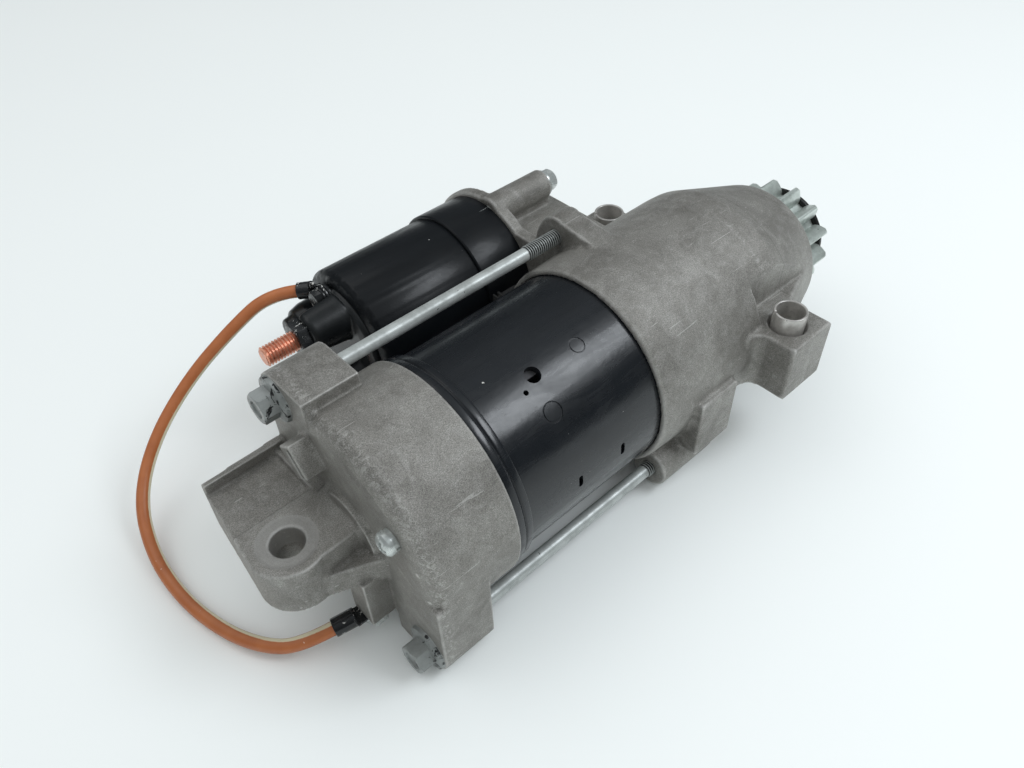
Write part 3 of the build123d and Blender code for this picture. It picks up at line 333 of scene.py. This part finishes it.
def castAluminium(name, shoulder, scuffAmount, machinedSpots):
    # shoulder is the stretch along the shaft whose outer edge is rubbed bright
    material, tree, shader = newMaterial(name)
    grain = useGroup(tree, castGrain, {"Grain Size": 3100.0, "Patch Size": 42.0})
    edgeLightShade = useGroup(tree, edgeHighlightCornerShade, {"Edge Start": 0.512, "Edge End": 0.575})
    rubbed = useGroup(tree, scuffs, {"Patch Size": 48.0, "Amount": scuffAmount})
    split = addNode(tree, "ShaderNodeSeparateXYZ")
    join(tree, objectPlace(tree), split.inputs["Vector"])
    base = mixColour(tree, grain.outputs["Patches"], aluminium["dark"], aluminium["light"])
    blotches = mathNode(tree, "MULTIPLY", grain.outputs["Blotches"], 0.25)
    base = mixColour(tree, blotches, base, aluminium["blotch"])
    speck = ramp(tree, grain.outputs["Grain"], [(0.0, 0.46), (0.5, 1.0), (1.0, 1.6)])
    base = mixColour(tree, 1.0, base, speck, "MULTIPLY")
    stains = mathNode(tree, "MULTIPLY", grain.outputs["Stains"], 0.3)
    base = mixColour(tree, stains, base, aluminium["stain"])
    dieLine = band(tree, split.outputs["X"], aluminium["dieLine"], aluminium["dieLine"], 0.00022)
    base = mixColour(tree, mathNode(tree, "MULTIPLY", dieLine, 2.0), base, aluminium["stain"])
    # painted shade: inside corners darkened towards the stain colour
    corner = mathNode(tree, "MULTIPLY", edgeLightShade.outputs["Corner"], 0.65)
    base = mixColour(tree, corner, base, aluminium["stain"])
    spots = None
    for x, y, z, radius in machinedSpots:
        gap = addNode(tree, "ShaderNodeVectorMath", operation="DISTANCE")
        join(tree, objectPlace(tree), gap.inputs[0])
        gap.inputs[1].default_value = (x, y, z)
        disc = mapRange(tree, gap.outputs["Value"], radius + 0.0002, radius - 0.0002)
        spots = disc if spots is None else mathNode(tree, "MAXIMUM", spots, disc)
    base = mixColour(tree, mathNode(tree, "MULTIPLY", spots, 0.6), base, aluminium["machined"])
    shoulderBand = band(tree, split.outputs["X"], shoulder[0], shoulder[1], 0.0012)
    crumbs = mapRange(tree, noise(tree, objectPlace(tree), 520.0, 7.0, 0.8, 1.0), 0.5, 0.58)
    shoulderWear = mathNode(tree, "MULTIPLY", shoulderBand, crumbs)
    # bright joins the painted highlight on sharp edges with real rubbed wear: scuffs, the rubbed shoulder
    # and scratches
    scuffed = mathNode(tree, "MULTIPLY", rubbed.outputs["Scuffs"], 0.55)
    bright = mathNode(tree, "MAXIMUM", mathNode(tree, "MULTIPLY", edgeLightShade.outputs["Edge"], 0.75), scuffed)
    bright = mathNode(tree, "MAXIMUM", bright, mathNode(tree, "MULTIPLY", shoulderWear, 0.5))
    scratched = mathNode(tree, "MULTIPLY", rubbed.outputs["Scratches"], 0.45)
    bright = mathNode(tree, "MAXIMUM", bright, scratched)
    base = mixColour(tree, mathNode(tree, "MULTIPLY", bright, 0.55), base, aluminium["bright"])
    join(tree, base, shader.inputs["Base Color"])
    shader.inputs["Metallic"].default_value = 0.55
    rough = mathNode(tree, "SUBTRACT", ramp(tree, grain.outputs["Grain"], [(0.0, 0.40), (1.0, 0.60)]),
                     mathNode(tree, "MULTIPLY", bright, 0.12))
    join(tree, rough, shader.inputs["Roughness"])
    addBump(tree, shader, grain.outputs["Height"], 0.0003, 0.75)
    return material


def glossPaint(name, colour, roughness, fleckAmount, chipAmount, shine=0.5):
    # shine is how strongly the paint mirrors the room
    material, tree, shader = newMaterial(name)
    place = objectPlace(tree)
    spots = useGroup(tree, flecks, {"Fleck Size": 260.0, "Amount": fleckAmount, "Reach": 0.13})
    # painted sheen: lighter streaks mixed into the paint's colour
    sheenStreaks = mapRange(tree, noise(tree, stretched(tree, (18.0, 70.0, 70.0)), 1.0, 5.0, 0.6), 0.42, 0.72)
    light = tuple(c * 1.8 + 0.004 for c in colour)
    base = mixColour(tree, mathNode(tree, "MULTIPLY", sheenStreaks, 0.5), colour, light)
    chipEdge = 0.72 - chipAmount * 0.2
    chips = mapRange(tree, noise(tree, place, 330.0, 6.0, 0.65, 1.0), chipEdge, chipEdge + 0.015)
    chipped = mathNode(tree, "MAXIMUM", spots.outputs["Flecks"], chips)
    base = mixColour(tree, chipped, base, (0.50, 0.50, 0.48))
    join(tree, base, shader.inputs["Base Color"])
    streak = noise(tree, stretched(tree, (28.0, 150.0, 150.0)), 1.0, 5.0, 0.6, 0.8)
    smear = mapRange(tree, noise(tree, place, 95.0, 6.0, 0.7, 0.6), 0.25, 0.8, 0.0, 0.16)
    rough = mathNode(tree, "ADD", mapRange(tree, streak, 0.42, 0.62, roughness, roughness + 0.12), smear)
    join(tree, rough, shader.inputs["Roughness"])
    shader.inputs["Specular IOR Level"].default_value = shine
    shader.inputs["Coat Weight"].default_value = 0.2 * shine
    shader.inputs["Coat Roughness"].default_value = 0.08
    height = mathNode(tree, "MULTIPLY_ADD", chipped, -0.8, noise(tree, place, 300.0, 3.0))
    addBump(tree, shader, height, 0.00008, 0.5)
    return material


plating = {
    "pit": (0.06, 0.06, 0.055),
    "pitShare": 0.07,
    "cloudSize": 120.0,
}


def platedSteel(name, bright, dark, roughness, stain, streaks=0.4, metallic=0.6):
    material, tree, shader = newMaterial(name)
    place = objectPlace(tree)
    cloud = noise(tree, place, plating["cloudSize"], 7.0, 0.7)
    base = mixColour(tree, mapRange(tree, cloud, 0.4, 0.68), bright, dark)
    lines = noise(tree, stretched(tree, (60.0, 1100.0, 1100.0)), 1.0, 4.0, 0.6)
    streaked = mathNode(tree, "MULTIPLY", mapRange(tree, lines, 0.5, 0.75), streaks)
    base = mixColour(tree, streaked, base, dark)
    pits = useGroup(tree, flecks, {"Fleck Size": 700.0, "Amount": plating["pitShare"], "Reach": 0.3})
    pitted = mathNode(tree, "MULTIPLY", pits.outputs["Flecks"], stain)
    base = mixColour(tree, pitted, base, plating["pit"])
    join(tree, base, shader.inputs["Base Color"])
    shader.inputs["Metallic"].default_value = metallic
    join(tree, mapRange(tree, cloud, 0.3, 0.8, roughness, roughness + 0.2), shader.inputs["Roughness"])
    height = mathNode(tree, "ADD", noise(tree, place, 1300.0, 3.0), mathNode(tree, "MULTIPLY", lines, 0.6))
    addBump(tree, shader, height, 0.00006, 0.5)
    return material


def plainSurface(name, colour, metallic, roughness, patchSize=150.0, contrast=0.25, bump=0.00006):
    material, tree, shader = newMaterial(name)
    place = objectPlace(tree)
    cloud = mapRange(tree, noise(tree, place, patchSize, 6.0, 0.65), 0.3, 0.7)
    darker = tuple(c * (1 - contrast) for c in colour)
    lighter = tuple(min(1.0, c * (1 + contrast)) for c in colour)
    join(tree, mixColour(tree, cloud, darker, lighter), shader.inputs["Base Color"])
    shader.inputs["Metallic"].default_value = metallic
    rough = mapRange(tree, cloud, 0.0, 1.0, max(0.05, roughness - 0.08), roughness + 0.1)
    join(tree, rough, shader.inputs["Roughness"])
    addBump(tree, shader, noise(tree, place, 1400.0, 3.0), bump, 0.6)
    return material


def leadInsulation():
    material, tree, shader = newMaterial("leadInsulation")
    coordinates = addNode(tree, "ShaderNodeTexCoord")
    split = addNode(tree, "ShaderNodeSeparateXYZ")
    join(tree, coordinates.outputs["UV"], split.inputs["Vector"])
    place = coordinates.outputs["Object"]
    brown = mixColour(tree, noise(tree, place, 110.0, 5.0), lead["darkBrown"], lead["brown"])
    middle = mathNode(tree, "MULTIPLY_ADD", split.outputs["X"], lead["stripeTwist"], lead["stripeStart"])
    turns = mathNode(tree, "SUBTRACT", split.outputs["Y"], middle)
    around = mathNode(tree, "FRACT", mathNode(tree, "ADD", turns, 1.5))
    off = mathNode(tree, "ABSOLUTE", mathNode(tree, "SUBTRACT", around, 0.5))
    ragged = mathNode(tree, "ADD", off, mathNode(tree, "MULTIPLY", noise(tree, place, 700.0, 3.0), 0.02))
    stripe = mapRange(tree, ragged, lead["stripeHalf"] + 0.02, lead["stripeHalf"])
    base = mixColour(tree, stripe, brown, lead["cream"])
    dust = useGroup(tree, flecks, {"Fleck Size": 420.0, "Amount": 0.1, "Reach": 0.14})
    dusty = mathNode(tree, "MULTIPLY", dust.outputs["Flecks"], 0.6)
    base = mixColour(tree, dusty, base, lead["dust"])
    join(tree, base, shader.inputs["Base Color"])
    rough = mapRange(tree, noise(tree, place, 300.0, 4.0), 0.3, 0.7, 0.3, 0.48)
    join(tree, rough, shader.inputs["Roughness"])
    addBump(tree, shader, noise(tree, place, 260.0, 4.0), 0.00012, 0.5)
    return material


throughBolt = {
    "axis": (0.03224, 0.03403),  # distance of the bolt's axis from the shaft, across and up
    "thread": (-0.0597, -0.0340),
    "rootRadius": 0.00270,
    "headEnd": -0.1646,  # the flange's front face, along the shaft
    # painted shade in the thread roots
    "rootShadeColour": (0.018, 0.018, 0.018),
    "headColour": (0.20, 0.21, 0.205),
    "paintColour": (0.016, 0.016, 0.017),
}


def threadedBolt():
    # zinc plated shank, painted shade in the thread roots and a head with the remains of black paint
    material = platedSteel("throughBoltZinc", (0.50, 0.53, 0.52), (0.30, 0.32, 0.31), 0.34, 0.9, 0.5, 0.35)
    tree = material.node_tree
    shader = tree.nodes["Principled BSDF"]
    place = objectPlace(tree)
    split = addNode(tree, "ShaderNodeSeparateXYZ")
    join(tree, place, split.inputs["Vector"])
    axisY, axisZ = throughBolt["axis"]
    across = mathNode(tree, "SUBTRACT", mathNode(tree, "ABSOLUTE", split.outputs["Y"]), axisY)
    up = mathNode(tree, "SUBTRACT", mathNode(tree, "ABSOLUTE", split.outputs["Z"]), axisZ)
    squares = mathNode(tree, "MULTIPLY_ADD", up, up, mathNode(tree, "MULTIPLY", across, across))
    radius = mathNode(tree, "SQRT", squares)
    rootRadius = throughBolt["rootRadius"]
    # painted shade: the thread roots darkened
    rootShade = mapRange(tree, radius, rootRadius + 0.00012, rootRadius - 0.00012)
    low, high = throughBolt["thread"]
    thread = mathNode(tree, "MULTIPLY", rootShade, band(tree, split.outputs["X"], low, high, 0.0003))
    old = shader.inputs["Base Color"].links[0].from_socket
    base = mixColour(tree, thread, old, throughBolt["rootShadeColour"])
    headEnd = throughBolt["headEnd"]
    head = mapRange(tree, split.outputs["X"], headEnd + 0.0001, headEnd - 0.0001)
    base = mixColour(tree, mathNode(tree, "MULTIPLY", head, 0.6), base, throughBolt["headColour"])
    flange = mapRange(tree, split.outputs["X"], headEnd - 0.0022, headEnd - 0.0008)
    cover = mathNode(tree, "MULTIPLY_ADD", flange, 0.09, noise(tree, place, 230.0, 5.0, 0.6, 1.0))
    paintLeft = mapRange(tree, cover, 0.6, 0.64)
    painted = mathNode(tree, "MULTIPLY", paintLeft, head)
    base = mixColour(tree, painted, base, throughBolt["paintColour"])
    join(tree, base, shader.inputs["Base Color"])
    return material


# x, y, z and radius of each faced spot
housingSpots = [(0.0, -0.0448, 0.0124, 0.0078), (0.0, 0.0448, 0.0124, 0.0078)]
coverSpots = [(-0.1852, 0.0032, 0.0086, 0.0097)]

finishes = {
    "cast_aluminium": castAluminium("castAluminium", (0.0, 0.001), 0.3, housingSpots),
    "black_paint": glossPaint("blackPaint", (0.0050, 0.0064, 0.0085), 0.15, 0.05, 0.0),
    "painted_fastener": glossPaint("fastenerPaint", (0.010, 0.011, 0.012), 0.12, 0.25, 0.62),
    "zinc_plate": platedSteel("zincPlate", (0.74, 0.78, 0.76), (0.42, 0.45, 0.44), 0.2, 0.8),
    "sleeve_steel": platedSteel("sleeveSteel", (0.62, 0.60, 0.57), (0.36, 0.35, 0.33), 0.26, 0.3),
    "copper": plainSurface("bareCopper", (0.78, 0.36, 0.24), 0.7, 0.3, 300.0, 0.3),
    "cap_plastic": plainSurface("capPlastic", (0.006, 0.0072, 0.008), 0.0, 0.3, 120.0, 0.4),
    "gear_steel": platedSteel("gearSteel", (0.66, 0.72, 0.68), (0.38, 0.42, 0.39), 0.26, 0.6),
    "dark_steel": plainSurface("darkSteel", (0.035, 0.035, 0.034), 0.7, 0.4),
    "spring_steel": plainSurface("springSteel", (0.25, 0.25, 0.26), 0.9, 0.35),
    "rubber": plainSurface("mouldedRubber", (0.014, 0.014, 0.014), 0.0, 0.58, 220.0, 0.4),
    "lead_insulation": leadInsulation(),
    "winding_wire": plainSurface("windingWire", (0.45, 0.16, 0.06), 0.6, 0.35),
    "lamination_steel": plainSurface("laminationSteel", (0.20, 0.20, 0.21), 0.8, 0.45, 900.0),
    "ferrite": plainSurface("ferrite", (0.06, 0.06, 0.065), 0.1, 0.6),
    "carbon": plainSurface("carbon", (0.05, 0.045, 0.042), 0.2, 0.55),
    "moulded_plastic": plainSurface("mouldedPlastic", (0.05, 0.045, 0.04), 0.0, 0.5),
    "bronze": plainSurface("bronze", (0.50, 0.33, 0.15), 0.9, 0.4),
}
coverFinish = castAluminium("coverAluminium", (-0.1636, -0.1600), 0.45, coverSpots)
boltFinish = threadedBolt()
coilFinish = glossPaint("solenoidPaint", (0.0045, 0.0056, 0.0070), 0.24, 0.09, 0.0, 0.24)


def paint(piece, material):
    slots = piece.data.materials
    if len(slots) == 0:
        slots.append(material)
    for index in range(len(slots)):
        slots[index] = material


for name, piece in nodes.items():
    paint(piece, finishes[slotOf[name]])
paint(nodes["through_bolts"], boltFinish)
print("materials made")


def deselectAll():
    if bpy.context.object and bpy.context.object.mode != "OBJECT":
        bpy.ops.object.mode_set(mode="OBJECT")
    bpy.ops.object.select_all(action="DESELECT")


def select(piece):
    deselectAll()
    piece.select_set(True)
    bpy.context.view_layer.objects.active = piece


def mergedCopy(nodeName, pieceName):
    # the CAD node's mesh copied with its loose triangles joined up
    source = nodes[nodeName]
    piece = bpy.data.objects.new(pieceName, source.data.copy())
    bpy.context.collection.objects.link(piece)
    select(piece)
    bpy.ops.object.mode_set(mode="EDIT")
    bpy.ops.mesh.select_all(action="SELECT")
    bpy.ops.mesh.remove_doubles(threshold=0.000002)
    bpy.ops.mesh.normals_make_consistent(inside=False)
    bpy.ops.object.mode_set(mode="OBJECT")
    return piece


def applyModifier(piece, name, kind, **settings):
    modifier = piece.modifiers.new(name, kind)
    for key, value in settings.items():
        setattr(modifier, key, value)
    select(piece)
    bpy.ops.object.modifier_apply(modifier=name)


def handOver(piece, nodeName, body, finish=None):
    paint(piece, finish or finishes[slotOf[nodeName]])
    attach(piece, body)
    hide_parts(nodeName)


def trianglesOf(piece):
    return sum(len(face.vertices) - 2 for face in piece.data.polygons)


# castings and mouldings: every edge is rounded as the mould and the blasting leave it
castings = {
    "drive_housing": {"piece": "housingCasting", "grid": 0.0007, "rounds": 2, "most": 190000,
                      "hollowReach": 3, "hollowRounds": 24},
    "rear_cover": {"piece": "coverCasting", "grid": 0.00055, "rounds": 2, "most": 190000,
                   "hollowReach": 3, "hollowRounds": 24, "finish": coverFinish},
    "solenoid_cap": {"piece": "capMoulding", "grid": 0.00045, "rounds": 3, "most": 120000},
    "lever_packing": {"piece": "packingBlock", "grid": 0.0004, "rounds": 3, "most": 60000},
    "lead_ring_front": {"piece": "frontTerminal", "grid": 0.00022, "rounds": 5, "most": 60000},
    "lead_ring_rear": {"piece": "rearTerminal", "grid": 0.00022, "rounds": 5, "most": 60000},
}


hollowRise = 0.16  # share of an edge's length that a point lies below its neighbours in a corner


def hollowGroup(piece, reach):
    # weights one in the inside corners and for reach rings of faces round them
    mesh = bmesh.new()
    mesh.from_mesh(piece.data)
    mesh.verts.ensure_lookup_table()
    hollow = set()
    for vertex in mesh.verts:
        middle = Vector()
        for edge in vertex.link_edges:
            middle += edge.other_vert(vertex).co
        count = len(vertex.link_edges)
        rise = (middle / count - vertex.co).dot(vertex.normal)
        step = sum(edge.calc_length() for edge in vertex.link_edges) / count
        if rise > hollowRise * step:
            hollow.add(vertex.index)
    ring = set(hollow)
    for _ in range(reach):
        ring = {edge.other_vert(mesh.verts[index]).index
                for index in ring for edge in mesh.verts[index].link_edges} - hollow
        hollow |= ring
    mesh.free()
    group = piece.vertex_groups.new(name="hollows")
    group.add(list(hollow), 1.0, "REPLACE")
    return group


def castShape(nodeName, setup):
    piece = mergedCopy(nodeName, setup["piece"])
    applyModifier(piece, "recast", "REMESH", mode="VOXEL", voxel_size=setup["grid"])
    applyModifier(piece, "soften", "SMOOTH", factor=0.5, iterations=setup["rounds"])
    if "hollowRounds" in setup:
        hollowGroup(piece, setup["hollowReach"])
        applyModifier(piece, "fillets", "SMOOTH", factor=0.6, iterations=setup["hollowRounds"],
                      vertex_group="hollows")
    count = trianglesOf(piece)
    if count > setup["most"]:
        applyModifier(piece, "thin", "DECIMATE", ratio=setup["most"] / count)
    bpy.ops.object.shade_smooth()
    handOver(piece, nodeName, "housing", setup.get("finish"))
    print(setup["piece"], count, "to", trianglesOf(piece), "triangles")
    return piece


cast = {nodeName: castShape(nodeName, setup) for nodeName, setup in castings.items()}
print("castings softened")


# turned, cut and headed parts get a small bevel on every sharp edge
bevelled = {
    "pinion": {"piece": "pinionGear", "width": 0.00028, "body": "pinion_body"},
    "pinion_cap": {"piece": "pinionStop", "width": 0.0003, "body": "pinion_body"},
    "solenoid_bolts": {"piece": "seatBolts", "width": 0.0003, "body": "housing"},
    "stud_nuts": {"piece": "terminalNuts", "width": 0.0003, "body": "housing"},
    "signal_screw": {"piece": "terminalScrew", "width": 0.00025, "body": "housing"},
    "ground_screw": {"piece": "leadScrew", "width": 0.00025, "body": "housing"},
    "cover_screws": {"piece": "holderScrews", "width": 0.00012, "body": "housing"},
    "yoke_end_ring": {"piece": "yokeRing", "width": 0.00025, "body": "housing"},
    "solenoid_can": {"piece": "coilCan", "width": 0.00035, "body": "housing", "finish": coilFinish},
    "solenoid_shell": {"piece": "coilShell", "width": 0.0003, "body": "housing", "finish": coilFinish},
    "mount_sleeves": {"piece": "splitSleeves", "width": 0.00012, "body": "housing"},
}


def bevelShape(nodeName, setup):
    piece = mergedCopy(nodeName, setup["piece"])
    applyModifier(piece, "flatten", "DECIMATE", decimate_type="DISSOLVE", angle_limit=radians(0.4))
    applyModifier(piece, "edges", "BEVEL", width=setup["width"], segments=2, limit_method="ANGLE",
                  angle_limit=radians(32), use_clamp_overlap=True)
    bpy.ops.object.shade_smooth_by_angle(angle=radians(32))
    handOver(piece, nodeName, setup["body"], setup.get("finish"))
    return piece


for nodeName, setup in bevelled.items():
    bevelShape(nodeName, setup)
print("edges bevelled")


# lead dressing
groundLead.data.materials.append(finishes["lead_insulation"])
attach(groundLead, "housing")
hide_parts("ground_lead")
print("lead dressed")


# bench top and soft light from above
room = {
    "floor": 6.0,
    "benchDark": (0.84, 0.875, 0.87),
    "benchLight": (0.87, 0.90, 0.895),
    "zenith": (0.90, 0.925, 0.93),
    "horizon": (0.30, 0.31, 0.315),
    "ceiling": (0.36, 0.39, 0.41),  # what shiny surfaces mirror from above
    "walls": (0.085, 0.095, 0.10),  # and from the sides
    "keyPower": 4.5,
    "keyColour": (0.90, 0.95, 1.0),
    "overheadPower": 1.2,
}


def makeFloor():
    deselectAll()
    bpy.ops.mesh.primitive_plane_add(size=room["floor"], location=(0, 0, cadBox[0].z))
    floor = bpy.context.object
    floor.name = "benchTop"
    material, tree, shader = newMaterial("benchTop")
    cloud = noise(tree, objectPlace(tree), 3.0, 3.0)
    join(tree, mixColour(tree, cloud, room["benchDark"], room["benchLight"]), shader.inputs["Base Color"])
    shader.inputs["Roughness"].default_value = 0.6
    paint(floor, material)


def makeLight(name, place, aim, size, power, colour=(1, 1, 1)):
    data = bpy.data.lights.new(name, "AREA")
    data.energy = power
    data.shape = "RECTANGLE"
    data.size = size[0]
    data.size_y = size[1]
    data.color = colour
    light = bpy.data.objects.new(name, data)
    light.location = place
    light.rotation_euler = (Vector(aim) - Vector(place)).to_track_quat("-Z", "Y").to_euler()
    bpy.context.collection.objects.link(light)
    return light


def makeWorld():
    # soft white light all round, but a darker room in the reflections, so that gloss paint has shape
    world = bpy.data.worlds.new("studio")
    world.use_nodes = True
    tree = world.node_tree
    coordinates = tree.nodes.new("ShaderNodeTexCoord")
    split = addNode(tree, "ShaderNodeSeparateXYZ")
    join(tree, coordinates.outputs["Generated"], split.inputs["Vector"])
    sky = ramp(tree, split.outputs["Z"], [(0.1, room["horizon"]), (0.75, room["zenith"])])
    mirrored = ramp(tree, split.outputs["Z"], [(0.35, room["walls"]), (0.95, room["ceiling"])])
    glossy = tree.nodes.new("ShaderNodeLightPath").outputs["Is Glossy Ray"]
    join(tree, mixColour(tree, glossy, sky, mirrored), tree.nodes["Background"].inputs["Color"])
    bpy.context.scene.world = world


makeFloor()
makeWorld()
makeLight("keySoftbox", (0.42, -0.48, 0.85), (-0.1, 0.0, 0.04), (0.5, 0.4), room["keyPower"],
          room["keyColour"])
makeLight("overhead", (-0.35, 0.55, 1.0), (-0.08, 0.03, 0), (1.0, 0.6), room["overheadPower"])
bpy.context.scene.view_settings.view_transform = "Standard"
print("studio lit")
